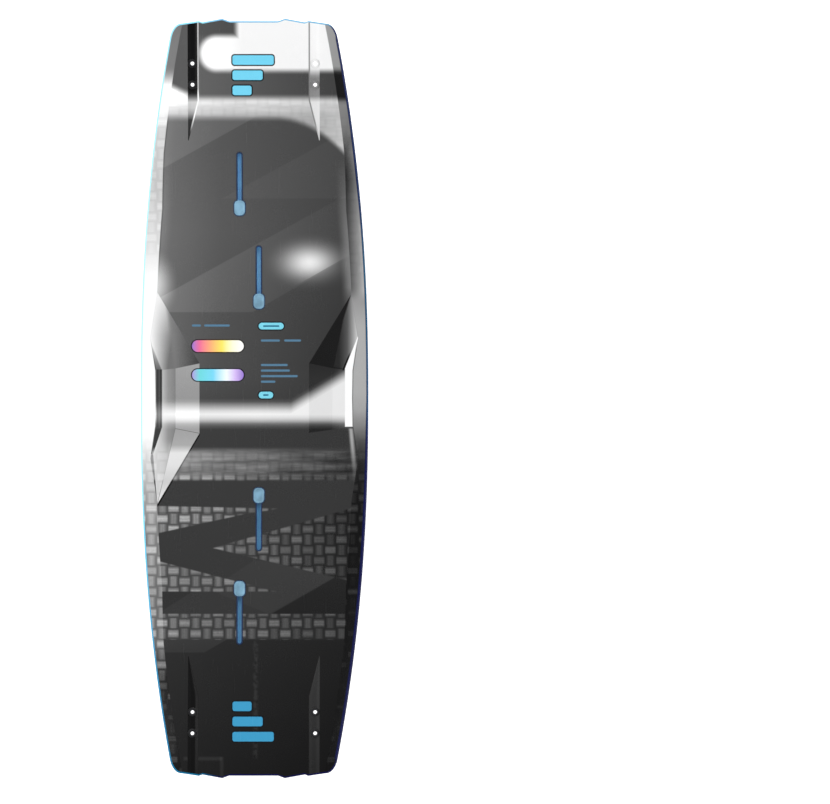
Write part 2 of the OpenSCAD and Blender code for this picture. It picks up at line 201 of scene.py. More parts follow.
def row_place(rows, inset):
    """(half width, function giving b for each a) of rows set in from the outline."""
    angle = np.radians(rows[:, 1])
    turning = rows[:, 1] > 0
    advance = np.where(turning, np.sin(angle) ** CORNER_POWER, 0)
    reach = np.where(turning, np.maximum(np.cos(angle), 0) ** CORNER_POWER, 1)
    side = side_x(np.where(turning, CORNER_Y + CORNER_RISE * advance, rows[:, 0])) - inset
    width = np.where(turning, CORNER_X + (side - CORNER_X) * reach, side)

    def place(a):
        extra = (slice(None),) + (None,) * (a.ndim - 1)
        return np.where(
            turning[extra], CORNER_Y + advance[extra] * (tip_y(a) - inset - CORNER_Y), rows[:, 0][extra] + 0 * a
        )

    return width, place


CREASE = 1.0  # reach of a crease's rounding to each side
CREASE_SHARE = 0.35  # its largest share of the gap to the next crease
SQUEEZE = 0.004  # least gap between creases, as a share of the width
FILL = 7.0  # spacing of the columns between creases


def half_grid(lines, height):
    """Points of one quarter of a sheet, by row and column, as a, b and z. Its columns follow the creases."""
    rows = row_list()
    width, place = row_place(rows, RAIL_WIDTH)
    at = place(np.zeros((len(rows), 1)))[:, 0]
    creases = np.stack(lines(at), 1)
    for _ in range(3):  # a crease's place depends on b, and b depends on its place where the rows turn the corner
        creases = np.stack([lines(place(creases)[:, k])[k] for k in range(creases.shape[1])], 1)
    count = creases.shape[1]
    for k in range(count):
        creases[:, k] = np.minimum(creases[:, k], width * (1 - SQUEEZE * (count - k)))
    bounds = np.concatenate([np.zeros((len(rows), 1)), creases, width[:, None]], 1)
    gaps = np.diff(bounds, axis=1)
    radius = np.minimum(CREASE, CREASE_SHARE * np.minimum(gaps[:, :-1], gaps[:, 1:]))
    columns, soft = [bounds[:, 0]], []
    for k in range(count + 1):
        low = bounds[:, k] + (radius[:, k - 1] if k else 0)
        high = bounds[:, k + 1] - (radius[:, k] if k < count else 0)
        if k:
            columns.append(low)
        fills = max(1, round(float(np.mean(gaps[:, k])) / FILL))
        columns += [low + (high - low) * f / fills for f in range(1, fills)]
        columns.append(high)
        if k < count:
            soft.append(len(columns))
            columns.append(bounds[:, k + 1])
    a = np.stack(columns, 1)
    b = place(a)
    z = height(a, b)
    rounded = z.copy()
    for c in soft:  # a crease's middle column sits on the arc between its neighbours
        rounded[:, c] = (z[:, c - 1] + 2 * z[:, c] + z[:, c + 1]) / 4
    return a, b, rounded


def whole_grid(a, b, z):
    """The quarter mirrored to the whole board, as an array of points in metres."""
    quarter = np.stack([a, b, z], 2)
    half = np.concatenate([quarter[:, :0:-1] * (-1, 1, 1), quarter], 1)
    return np.concatenate([half[:0:-1] * (1, -1, 1), half], 0) * MM


# ---- Meshes ----
SHARP = math.radians(32)
FLAT = math.radians(1)
BEVELLED = math.radians(40)
MERGE = 1e-6


def add_mesh(name, vertices, faces, material):
    """A new mesh object, smooth except along its sharp edges."""
    mesh = bpy.data.meshes.new(name)
    mesh.from_pydata([tuple(v) for v in vertices], [], faces)
    return add_object(name, mesh, material)


def add_object(name, mesh, material):
    mesh.validate()
    mesh.shade_smooth()
    mesh.set_sharp_from_angle(angle=SHARP)
    mesh.materials.append(material)
    made = bpy.data.objects.new(name, mesh)
    bpy.context.scene.collection.objects.link(made)
    return made


def grid_faces(rows, columns, start=0, flip=False):
    faces = []
    for r in range(rows - 1):
        for c in range(columns - 1):
            v = start + r * columns + c
            face = (v, v + 1, v + columns + 1, v + columns)
            faces.append(face[::-1] if flip else face)
    return faces


def slab(name, upper, lower, material):
    """A closed sheet between two grids of points, the upper one seen from above."""
    rows, columns = upper.shape[:2]
    under = rows * columns
    faces = grid_faces(rows, columns) + grid_faces(rows, columns, under, flip=True)
    rim = list(range(columns))
    rim += [r * columns + columns - 1 for r in range(1, rows)]
    rim += [(rows - 1) * columns + c for c in range(columns - 2, -1, -1)]
    rim += [r * columns for r in range(rows - 2, 0, -1)]
    for p, q in zip(rim, rim[1:] + rim[:1]):
        faces.append((q, p, p + under, q + under))
    return add_mesh(name, np.concatenate([upper.reshape(-1, 3), lower.reshape(-1, 3)]), faces, material)


def loft(name, rings, material, close=False):
    """A solid through rings of equal length. A closed one joins its last ring to its first, and has no caps."""
    count = len(rings[0])
    pairs = list(zip(range(len(rings)), range(1, len(rings)))) + ([(len(rings) - 1, 0)] if close else [])
    faces = [
        (p * count + k, p * count + (k + 1) % count, q * count + (k + 1) % count, q * count + k)
        for p, q in pairs
        for k in range(count)
    ]
    if not close:
        last = (len(rings) - 1) * count
        faces += [tuple(range(count))[::-1], tuple(last + k for k in range(count))]
    return add_mesh(name, [v for ring in rings for v in ring], faces, material)


def rounded_loop(width, length, radius, arc=10):
    """Points of a rounded rectangle, anticlockwise."""
    points = []
    for k, (sx, sy) in enumerate([(1, 1), (-1, 1), (-1, -1), (1, -1)]):
        for t in np.radians(np.linspace(90 * k, 90 * k + 90, arc)):
            points.append(
                (sx * (width / 2 - radius) + radius * math.cos(t), sy * (length / 2 - radius) + radius * math.sin(t))
            )
    return points


# ---- Places of the tracks and of the fin holes ----
ENDS = {"nose": 1, "tail": -1}
TRACKS = {"inner": (8.4, 174.5), "outer": (-26, 342)}
SLOT_LENGTH = 100
PORT_W, PORT_L, PORT_R = 22, 30, 9
NECK_W = 10.8
FLUSH = -0.15  # the track frame's height from the deck's surface
FIN_X, FIN_Y, FIN_SPACING = 110, 581, 38
SIDES = {"left": -1, "right": 1}
CUT_BOTTOM, CUT_TOP = -14, 6


def tilted(x, y, z, slope, end):
    """The frame of a fitting set in the deck, in metres: its own Y runs towards the tip."""
    out = Matrix.Translation((x * MM, y * MM, z * MM)) @ Matrix.Rotation(math.atan(slope), 4, "X")
    return out if end > 0 else Matrix.Scale(-1, 4, (0, 1, 0)) @ out


def track_frame(x, port_y, end):
    near, far = port_y - PORT_L / 2, port_y + SLOT_LENGTH
    z0, z1 = (float(deck_z(np.array(abs(x)), np.array(y))) for y in (near, far))
    slope = (z1 - z0) / (far - near)
    return tilted(x, port_y, z0 + PORT_L / 2 * slope + FLUSH, slope, end)


def fin_frame(side, end):
    y0, y1 = FIN_Y - FIN_SPACING / 2, FIN_Y + FIN_SPACING / 2
    z0, z1 = (float(deck_z(np.array(float(FIN_X)), np.array(y))) for y in (y0, y1))
    return tilted(side * FIN_X, FIN_Y, (z0 + z1) / 2, (z1 - z0) / FIN_SPACING, end)


def place(matrix, ring, z):
    """A flat loop in millimetres, set in a frame at height z."""
    return [matrix @ Vector((x * MM, y * MM, z * MM)) for x, y in ring]


def neck_loop(grow, arc=12):
    """Plan of a track's collar: a rounded port with a slot running out of it."""
    half, r = NECK_W / 2 + grow, PORT_R
    w, l = PORT_W / 2 + grow, PORT_L / 2 + grow
    cx, cy = w - r, l - r
    meet = math.acos((half - cx) / r)
    points = []

    def arc_to(x, y, radius, start, stop):
        for t in np.linspace(start, stop, arc):
            points.append((x + radius * math.cos(t), y + radius * math.sin(t)))

    arc_to(cx, cy, r, 0, meet)
    arc_to(0, SLOT_LENGTH - NECK_W / 2, half, 0, math.pi)
    arc_to(-cx, cy, r, math.pi - meet, math.pi)
    arc_to(-cx, -cy, r, math.pi, 1.5 * math.pi)
    arc_to(cx, -cy, r, 1.5 * math.pi, 2 * math.pi)
    return points


def circle(radius, count=48):
    return [(radius * math.cos(t), radius * math.sin(t)) for t in np.arange(count) * 2 * math.pi / count]


def cutters(necks, hole_d):
    """One mesh of prisms that cut a sheet's track openings and fin holes."""
    rings = []
    if necks:
        for end in ENDS.values():
            rings += [(track_frame(*track, end), neck_loop(necks), 0) for track in TRACKS.values()]
    for end in ENDS.values():
        for side in SIDES.values():
            rings += [(fin_frame(side, end), circle(hole_d / 2), k * FIN_SPACING / 2) for k in (-1, 1)]
    bm = bmesh.new()
    for matrix, ring, shift in rings:
        moved = [(x, y + shift) for x, y in ring]
        low, high = ([bm.verts.new(v) for v in place(matrix, moved, z)] for z in (CUT_BOTTOM, CUT_TOP))
        count = len(ring)
        bm.faces.new(low[::-1])
        bm.faces.new(high)
        for k in range(count):
            n = (k + 1) % count
            bm.faces.new((low[k], low[n], high[n], high[k]))
    bmesh.ops.recalc_face_normals(bm, faces=bm.faces)
    mesh = bpy.data.meshes.new("cutters")
    bm.to_mesh(mesh)
    bm.free()
    made = bpy.data.objects.new("cutters", mesh)
    bpy.context.scene.collection.objects.link(made)
    return made


def cut(obj, necks, hole_d):
    """Cuts a sheet's openings, and applies the cut."""
    tool = cutters(necks, hole_d)
    modifier = obj.modifiers.new("openings", "BOOLEAN")
    modifier.operation = "DIFFERENCE"
    modifier.solver = "EXACT"
    modifier.object = tool
    shaped = bpy.data.meshes.new_from_object(obj.evaluated_get(bpy.context.evaluated_depsgraph_get()))
    obj.modifiers.clear()
    obj.data = shaped
    shaped.shade_smooth()
    shaped.set_sharp_from_angle(angle=SHARP)
    bpy.data.objects.remove(tool)


# ---- Arithmetic on a material's nodes ----
class Value:
    """A number at each point of a surface. Arithmetic on it adds nodes to its material."""

    def __init__(self, socket):
        self.socket = socket
        self.tree = socket.id_data

    def node(self, kind, *values, output=0, **settings):
        made = self.tree.nodes.new("ShaderNode" + kind)
        for name, value in settings.items():
            setattr(made, name, value)
        for index, value in values:
            if isinstance(value, Value):
                self.tree.links.new(value.socket, made.inputs[index])
            else:
                made.inputs[index].default_value = value
        return Value(made.outputs[output])

    def math(self, operation, *others):
        return self.node("Math", *enumerate((self, *others)), operation=operation)

    def __rsub__(self, other):
        return self.node("Math", (0, other), (1, self), operation="SUBTRACT")

    def step(self, start, stop):
        """0 at start and 1 at stop, smooth between them."""
        return self.node(
            "MapRange", (0, self), (1, start), (2, stop), interpolation_type="SMOOTHSTEP"
        )

    def over(self, other, mask):
        """This value, and another one where the mask is 1."""
        return self.node("Mix", (0, mask), (2, self), (3, other))

    def curve(self, *pairs):
        """Straight lines through (value, tone) pairs, with tones from 0 to 255."""
        shade = self.ramp(*[(at, (tone / 255,) * 3) for at, tone in pairs])
        return shade * 255

    def ramp(self, *stops):
        """A colour ramp through (value, linear colour) stops."""
        low, high = stops[0][0], stops[-1][0]
        share = self.node("MapRange", (0, self), (1, float(low)), (2, float(high)))
        made = share.node("ValToRGB", (0, share))
        band = made.socket.node.color_ramp
        while len(band.elements) < len(stops):
            band.elements.new(0.5)
        for element, (at, _) in zip(band.elements, stops):
            element.position = (at - low) / (high - low)
        for element, (_, colour) in zip(band.elements, stops):
            element.color = (*colour, 1)
        return made


GAMMA = 2.2


def rgb(*tones):
    """Reflectance of printed tones from 0 to 255."""
    return tuple((tone / 255) ** GAMMA for tone in tones)


def blend(first, second, mask):
    """Two colours mixed by a mask. A colour is a Value or three numbers."""
    sides = [c if isinstance(c, Value) else (*c, 1) for c in (first, second)]
    return mask.node("Mix", (0, mask), (6, sides[0]), (7, sides[1]), output=2, data_type="RGBA")


OPERATIONS = {
    "__add__": "ADD", "__radd__": "ADD", "__sub__": "SUBTRACT", "__mul__": "MULTIPLY", "__rmul__": "MULTIPLY",
    "__truediv__": "DIVIDE", "__abs__": "ABSOLUTE", "min": "MINIMUM", "max": "MAXIMUM",
}
for method, operation in OPERATIONS.items():
    setattr(Value, method, lambda self, *others, operation=operation: self.math(operation, *others))


class Surface:
    """A new material with its place on the board as Values in millimetres."""

    def __init__(self, name, **constants):
        self.material = bpy.data.materials.new(name)
        self.material.use_nodes = True
        self.tree = self.material.node_tree
        self.shader = self.tree.nodes["Principled BSDF"]
        for socket, value in constants.items():
            self.shader.inputs[socket.replace("_", " ")].default_value = value
        coordinates = self.tree.nodes.new("ShaderNodeTexCoord")
        metres = Value(coordinates.outputs["Object"])
        self.place = metres.node("VectorMath", (0, metres), (3, 1 / MM), operation="SCALE")
        split = self.place.node("SeparateXYZ", (0, self.place)).socket.node
        self.x, self.y, self.z = (Value(s) for s in split.outputs)

    def noise(self, size, detail=2, stretch=(1, 1, 1), roughness=0.5):
        """Noise from 0 to 1 with features of about that size in millimetres."""
        scaled = self.place.node(
            "VectorMath", (0, self.place), (1, tuple(s / size for s in stretch)), operation="MULTIPLY"
        )
        return scaled.node("TexNoise", (0, scaled), (2, 1), (3, detail), (4, roughness))

    def left_of(self, p, q):
        """Distance to the left of the line from p to q."""
        length = math.hypot(q[0] - p[0], q[1] - p[1])
        nx, ny = -(q[1] - p[1]) / length, (q[0] - p[0]) / length
        return self.y.math("MULTIPLY_ADD", ny, self.x.math("MULTIPLY_ADD", nx, -(p[0] * nx + p[1] * ny)))

    def inside(self, *corners, soft=0.6):
        """1 inside a convex outline whose corners run anticlockwise."""
        depth = None
        for p, q in zip(corners, corners[1:] + corners[:1]):
            distance = self.left_of(p, q)
            depth = depth.min(distance) if depth else distance
        return depth.step(-soft, soft)

    def bar(self, x0, x1, y0, y1, radius=0, soft=0.6, y=None):
        """1 inside an upright rectangle with rounded corners."""
        dx = abs(self.x - (x0 + x1) / 2) - ((x1 - x0) / 2 - radius)
        dy = abs((y or self.y) - (y0 + y1) / 2) - ((y1 - y0) / 2 - radius)
        beyond = (dx.max(0).math("POWER", 2) + dy.max(0).math("POWER", 2)).math("SQRT")
        far = beyond + dx.max(dy).min(0)
        return far.step(radius + soft, radius - soft)

    def glow(self, x, y, rx, ry):
        """A soft spot, 1 at its middle."""
        dx, dy = (self.x - x) / rx, (self.y - y) / ry
        return (dx * dx + dy * dy).math("SQRT").step(1, 0)

    def bump(self, height, strength=1, distance=1):
        """Bump from a height in millimetres, added to any before it."""
        made = self.tree.nodes.new("ShaderNodeBump")
        made.inputs["Strength"].default_value = strength
        made.inputs["Distance"].default_value = distance * MM
        self.tree.links.new(height.socket, made.inputs["Height"])
        before = self.shader.inputs["Normal"]
        if before.is_linked:
            self.tree.links.new(before.links[0].from_socket, made.inputs["Normal"])
        self.tree.links.new(made.outputs["Normal"], before)

    def finished(self, colour, roughness):
        """The material, with its colour and its roughness."""
        self.tree.links.new(colour.socket, self.shader.inputs["Base Color"])
        self.tree.links.new(roughness.socket, self.shader.inputs["Roughness"])
        return self.material


CELL_X, CELL_Y = 20.13, 18.72
CELL_SHIFT = 0.7, 0.059


def weave(surface):
    """Brightness of a coarse plain weave, about 1: wide weft tows and narrower warp tows, each with its own fibres."""
    u = surface.x / CELL_X + CELL_SHIFT[0]
    v = surface.y / CELL_Y + CELL_SHIFT[1]
    column, row = u.math("FLOOR"), v.math("FLOOR")
    across, along = abs(u - column - 0.5), abs(v - row - 0.5)
    cell = column.node("CombineXYZ", (0, column), (1, row))
    chance = cell.node("TexWhiteNoise", (0, cell))
    turn = chance * 17
    weft = across.step(0.6, 0.34) * along.step(0.5, 0.12) * ((along * 22 + turn).math("SINE") * 0.08 + 0.84)
    warp = across.step(0.47, 0.1) * along.step(0.64, 0.38) * ((across * 24 + turn).math("SINE") * 0.05 + 0.55)
    odd = (column + row).math("PINGPONG", 1)
    tows = weft.over(warp, odd) * (chance * 0.45 + 0.7)
    return tows * (surface.noise(3.2, 1) * 0.4 + 0.8) + 0.67


# ---- The deck's print: a painted picture of light and shade, in tones from 0 to 255 ----
DECK_FACETS = [  # change of tone, and a convex outline whose corners run anticlockwise
    (14, ((-210, 384.6), (-11, 497), (40, 525), (-210, 525))),
    (5, ((-57, 359), (190, 359), (190, 493))),
    (4, ((-80, -344), (26, -387), (190, -297), (0, -291))),
    (-6, ((-190, -347), (-190, -396.6), (-110, -347))),
]
CLOTH_ZONES = [
    ((42, -198), (-190, -193), (-190, -205), (10, -205)),
    ((-190, -205), (-190, -246), (-3, -205)),
    ((-74, -269), (190, -332), (190, -193)),
    ((-190, -288), (-190, -347), (40, -347)),
]
CYAN = rgb(112, 203, 232)
DEEP_CYAN = rgb(62, 148, 190)


def fade(value, *pairs):
    """Straight lines through (value, share) pairs, for masks."""
    return value.curve(*[(at, share * 255) for at, share in pairs]) / 255


def side_line(b):
    """The outline's half width."""
    return HALF_W - SIDE_TAPER * (b / TAPER_Y).math("POWER", TAPER_POWER)


def body_tone(s, bevel):
    """The body: darker towards the tail, lighter to the left over the front half, and faceted."""
    x, y = s.x, s.y
    tone = y.curve(
        (-680, 32), (-600, 37), (-456, 51), (-430, 55), (-300, 58), (-60, 61), (40, 73), (150, 76), (300, 84), (460, 82)
    )
    lean = y.curve((-680, 4), (-440, 4), (-300, 0), (-60, 2), (60, 11), (300, 10), (460, 8)) * 0.01
    tone = tone - x * lean + (-60 - x).max(0) * y.step(-40, 120) * 0.1
    # Painted highlights along the inner side of each bevel
    by_right, by_left = (bevel + 20).step(0, 20), (bevel + 22).step(0, 22)
    tone = tone + by_right * x.step(0, 20) * y.curve(
        (150, 0), (200, 62), (300, 46), (350, 30), (400, 15), (430, 0)
    )
    tone = tone + by_left * x.step(0, -20) * y.step(200, 300) * y.curve((360, 16), (440, 5))
    for change, corners in DECK_FACETS:
        tone = tone + s.inside(*corners, soft=1) * change
    facet = s.inside((-190, 155), (-3, 155), (190, 265), (190, 379), (-190, 170), soft=1)
    tone = tone + facet * (10 - x * 0.04)
    dark = s.left_of((146, -321), (-89, -456)).step(-1, 1).max(y.step(-455, -457))
    return tone - dark * y.curve((-680, 0), (-560, 4), (-456, 9), (-386, 15))


def cloth_tone(s, tone, cloth, streaks):
    """Cloth that shows through in zones of the lower half, and faint marks below it. Also gives the zones' mask."""
    x, y = s.x, s.y
    level = y.curve((-433, 76), (-340, 80), (-200, 84), (-147, 98), (-93, 112))
    level = level - x * y.curve((-433, 12), (-147, 24)) * 0.01 + y.step(-150, -138) * streaks * 84
    contrast = y.curve((-149, 230), (-137, 60), (-93, 22)) / 255
    top, low = y.step(-150, -144) * y.step(-86, -98), y.step(-434.5, -431.5) * y.step(-385.5, -388.5)
    zones = top.max(low)
    for corners in CLOTH_ZONES:
        zones = zones.max(s.inside(*corners, soft=1.6))
    tone = tone.over(level * ((cloth - 1) * contrast + 1), zones)
    tone = tone + s.bar(-1, 7, -645, -436, 3, 3) * s.noise(7).step(0.35, 0.6) * 14
    tone = tone + s.bar(-125, -57, -648, -642, 2, 2.5) * 14 + s.bar(-60, -54, -690, -642, 2, 2.5) * 12
    return tone, zones


def middle_band(s):
    """Mask of the soft white band across the middle, which rises to the right."""
    rise = (s.x - 66).max(0) * 0.6
    upper = fade(s.y - rise, (-28, 1), (-22, 0.85), (-18, 0.68), (-14, 0.5), (-10, 0.32), (-6, 0.11), (0, 0))
    lower = fade(s.y, (-56, 0), (-50, 0.13), (-46, 0.27), (-42, 0.55), (-38, 0.77), (-34, 0.9), (-29, 1))
    return upper * lower


def nose_tone(s, tone, cloth, streaks):
    """The nose: a white field with a rounded lobe to the left, over a dark band, over a soft pale one."""
    x, y = s.x, s.y
    tone = tone.over(87 - x * 0.13 - y.step(640, 655) * 14, y.step(530, 545))
    field = s.bar(-31, 260, 586.5, 760, 0, 7).max(s.bar(-97, 60, 586.5, 649, 31, 7))
    tone = tone.over((-20 - x).max(0).min(40) * 0.42 + 247, field)
    tone = tone.over(92, x.step(-116.5, -118) * y.step(528, 534))

    # The pale band is bright on the left, and its lower edge dips to the right over the cloth
    fall = (x - 40).max(0)
    left = (-96 - x).max(0)
    top = 538 + left * 0.34 + left * left * 0.0015
    mist = (y - top).step(9, -8) * (y + fall * fall * 0.0042).step(495, 511)
    misty = y.curve((440, 168), (500, 176), (512, 191), (530, 222), (545, 240)) + (cloth - 1) * 10 + streaks * 34
    misty = misty - x * 0.11 + left * y.step(505, 535) * 0.5 + (x - 100).max(0) * y.curve((500, 0.65), (530, 0))
    return tone.over(misty, mist)


def spot_tone(s, tone):
    """Two spots of light."""
    spot = s.glow(100, 244, 96, 60).math("POWER", 1.6)
    tone = tone + spot * (s.left_of((-3, 158), (172, 258)).step(-1, 1) * 62 + 98)
    return tone + s.glow(-184, 204, 50, 72) * 120


def left_recess(s, tone, cloth, band, zones):
    """The recess beside the left rail: lit facets of painted light, and painted shade along its crease and its rim."""
    x, y = s.x, s.y
    lit = y.curve((-190, 236), (-150, 205), (-120, 226), (-98, 230), (-84, 170), (-54, 160), (0, 150), (63, 162))
    crease = s.left_of((-98.5, -62.5), (-173.5, -190))
    crease = crease.step(2.8, 1.6) * crease.step(-1.6, -0.6) * y.step(-60, -66) * x.step(-98, -99)
    tone = tone.over(0, crease * (1 - zones * 0.75))
    panel = s.inside((-98.5, 63), (-142, 54), (-142, -54), (-98.5, -62.5))
    panel = panel.max(s.inside((-142, -54.5), (-174, -190), (-98.5, -63)))
    tone = tone.over(lit + (266 - lit) * band, panel)
    strip = 130 + (-142 - x) * 1.4 + (-155 - x).max(0) * 2.4
    strip = strip.over(212 + (cloth - 1) * 30, y.step(-70, -105) * 0.7)
    outer = s.inside((-142, 54), (-166, 52), (-166, -53), (-142, -55))
    outer = outer.max(s.inside((-142, -54), (-166, -52), (-182, -100), (-174.5, -190)))
    tone = tone.over(strip + (250 - strip) * band, outer)
    upper = 212 - (x + 175) * (6.6 - y * 0.03) + (y - 112).max(0) * 0.5
    upper = (143 - (x + 160) * 1.25).over(upper.max(116), s.left_of((-142, 54), (-159, 178)).step(-5, 5))
    tone = tone.over(upper, s.inside((-98.5, 63), (-174, 190), (-187, 108), (-176, 50), (-142, 54)))
    tone = tone.over(104 + (y - 52) * 2.4, s.inside((-178, 49), (-166.5, 51), (-184.6, 96), soft=1.2))
    tone = tone.over(56 + abs(abs(x + 171) - 2.6) * 12 + band * 70, s.bar(-176.2, -166, -52, 52, 0, 0.8))
    rim = s.inside((-176.6, 52), (-187.5, 108), (-188.6, 108), (-179, 52))
    return tone.over(70, rim.max(s.inside((-179, -52), (-186.6, -100), (-184.4, -100), (-176.6, -52))))


def right_recess(s, tone, band, zones):
    """The recess beside the right rail: dark facets of painted shade, and a bright outer wall and a glint below it as
    painted highlights.
    """
    x, y = s.x, s.y
    shade = y.curve((-60, 40), (-5, 42), (30, 52), (60, 46)).over(228, band)
    tone = tone.over(shade, s.inside((98.5, 63), (98.5, 20), (98.5, -62), (140, -56), (141.5, 56)) * (1 - zones))
    shade = (46 + (x - 140) * 0.9).over(234, band)
    tone = tone.over(shade, s.inside((140, -56), (164, -52), (164, 52), (141.5, 56)))
    tone = tone.over(33, s.inside((98.5, 63), (141.5, 54), (164, 52), (175, 188)))
    pale = 46 + (x - 152).max(0) * 2.7 + (x - 167).max(0) * 3.8
    tone = tone.over(pale, s.inside((143, 57), (164, 52), (187, 108), (175, 190), (160, 142), soft=1.6))
    line = s.left_of((162.5, 54), (185.5, 110))
    tone = tone.over(6, line.step(-1, 0) * line.step(3.2, 2.2) * y.step(49, 54) * y.step(86, 66))
    wall = s.inside((163, -51), (178, -51), (178.8, 51), (163, 51))
    wall = wall.max(s.inside((163, 50), (178.8, 50), (187.2, 113), (185.5, 110), (163, 54)))
    tone = tone.over(255, wall)
    line = s.left_of((174, -52), (180, -120))
    glint = line.step(-7, -1) * line.step(6, 0) * y.step(-52, -56) * y.step(-165, -70)
    return tone.over(166, glint)


def bevel_tone(s, tone, cloth, outline, edge):
    """Bevels, part print and part painted light from the left: white on the left fading into cloth, and greys on the
    right, each with a darker inner edge of painted shade.
    """
    x, y = s.x, s.y
    tone = tone.over(96, edge.step(-1.8, -0.8) * y.step(-54, -50) * y.step(108, 84) * x.step(-1, 1))
    lumps = (cloth - 1) * (y.step(-110, -240) * 60 + 24)
    left = y.curve(
        (-680, 12), (-560, 24), (-500, 50), (-440, 124), (-330, 134), (-240, 154), (-170, 180), (-100, 228), (-70, 254),
        (220, 254), (270, 228), (380, 199), (480, 209), (515, 250), (562, 254), (582, 150), (592, 122), (680, 118)
    )
    wavy = y.step(-66, -120).max(y.step(235, 290) * y.step(520, 495))
    right = y.curve(
        (-680, 8), (-440, 12), (-300, 24), (-120, 40), (-80, 78), (-50, 130), (-20, 164), (10, 174), (130, 174),
        (180, 150), (200, 134), (300, 118), (350, 96), (400, 66), (450, 82), (480, 116), (530, 132), (541, 18),
        (582, 18), (592, 150), (680, 156)
    )
    across = (outline + 16) * y.step(170, 200) * y.step(470, 440) * 3.8
    inner = x.step(0, -20) * edge.step(-3, -1.5) * y.step(200, 260) * y.step(530, 480)
    tone = (tone - inner * 22).over(left + lumps * wavy, edge.step(-0.8, 0.8) * x.step(1, -1))
    rough = y.step(-40, -120).max(y.step(180, 240) * y.step(530, 500) * 0.45)
    return tone.over(right + across + lumps * rough * 0.6, edge.step(-0.8, 0.8) * x.step(-1, 1))


def groove_tone(s, tone):
    """The grooves of the fin holes, with painted light on the left one's inner wall and painted shade on the right
    one's. Also gives the grooves' mask.
    """
    x, y = s.x, s.y
    a, b = abs(x), abs(y)
    start = b.curve((GROOVE_START, GROOVE_OUTER - 1), (534, GROOVE_INNER))
    groove = (a - start).step(-0.6, 0.6) * a.step(118.6, 117.6) * b.step(462, 464)
    dark = y.curve(
        (-680, 20), (-463, 26), (463, 34), (500, 60), (508, 144), (520, 200), (532, 212), (546, 40), (556, 14),
        (680, 12)
    )
    light = y.curve(
        (-680, 42), (-463, 60), (463, 206), (500, 226), (534, 228), (540, 140), (576, 128), (592, 248), (680, 250)
    )
    tone = tone.over(dark.over(light, x.step(-1, 1)), groove)
    wall = (a - start).step(-0.9, -0.3) * (a - start).step(2.4, 1.6)
    lit = y.curve((480, 120), (505, 250), (545, 254), (556, 180), (680, 196))
    tone = tone.over(lit, wall * x.step(1, -1) * y.step(472, 488))
    return tone.over(124, wall * x.step(-1, 1) * y.step(466, 500) * 0.8), groove


def deck_tone(s):
    """Grey tones of the deck's print and of painted light and shade. Also gives its cloth's brightness and the mask of
    its grooves.
    """
    a, b = abs(s.x), abs(s.y)
    cloth = weave(s)
    streaks = s.noise(9, 3, (0.12, 1, 1)) - 0.5
    outline = a - side_line(b)
    bevel = outline + b.curve(*BEVEL_WIDTH)
    edge = bevel.min(a - b.curve((0, 177.3), (50, 178), (108, 186.8), (190, 174), (196, 120)))
    band = middle_band(s)
    tone = body_tone(s, bevel)
    tone, zones = cloth_tone(s, tone, cloth, streaks)
    tone = tone.over(246 - a * 0.06, band)
    tone = nose_tone(s, tone, cloth, streaks)
    tone = spot_tone(s, tone)
    tone = left_recess(s, tone, cloth, band, zones)
    tone = right_recess(s, tone, band, zones)
    tone = bevel_tone(s, tone, cloth, outline, edge)
    tone, groove = groove_tone(s, tone)
    return tone, cloth, groove


